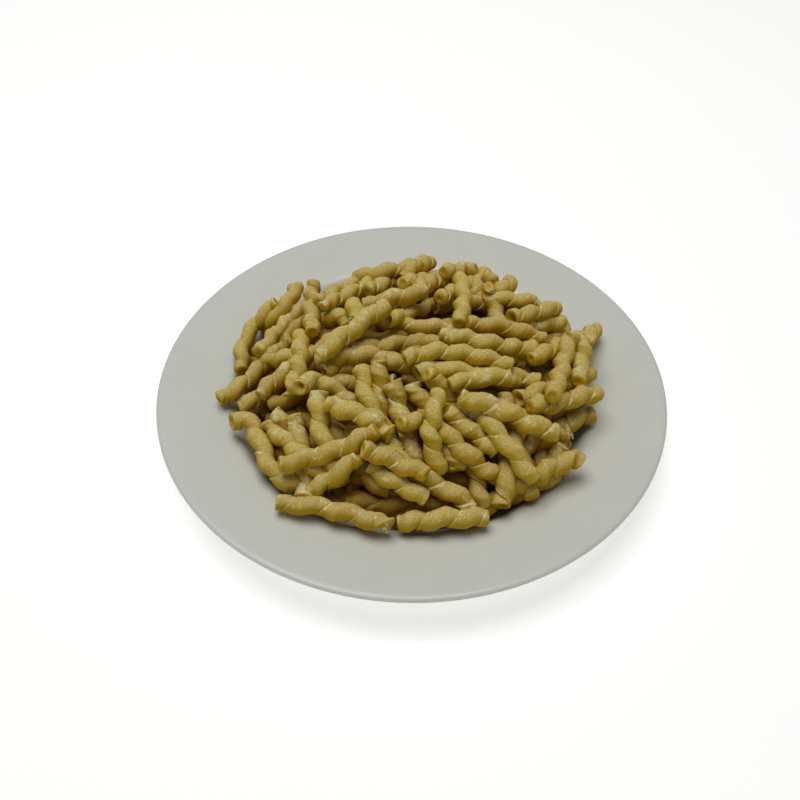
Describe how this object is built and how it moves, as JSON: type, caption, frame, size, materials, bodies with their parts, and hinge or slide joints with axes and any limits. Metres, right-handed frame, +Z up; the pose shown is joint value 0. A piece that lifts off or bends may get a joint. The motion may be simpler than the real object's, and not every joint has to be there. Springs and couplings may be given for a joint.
{
  "type": "plate of pasta",
  "caption": "Loose heap of flour dusted, uncooked pasta twists on a round white plate with a broad rim.",
  "frame": {"origin": "on the ground under the middle of the plate", "axes": "+Z up, out of the plate; +X to the right and +Y away from the viewer in the picture"},
  "size_m": [0.26, 0.26, 0.067],
  "materials": {
    "plate": "glossy white glaze on stoneware",
    "pasta": "matt, slightly see-through dough with flour on it"
  },
  "bodies": {
    "root": {"plate": "plate", "pasta_heap": "pasta"}
  },
  "joints": []
}
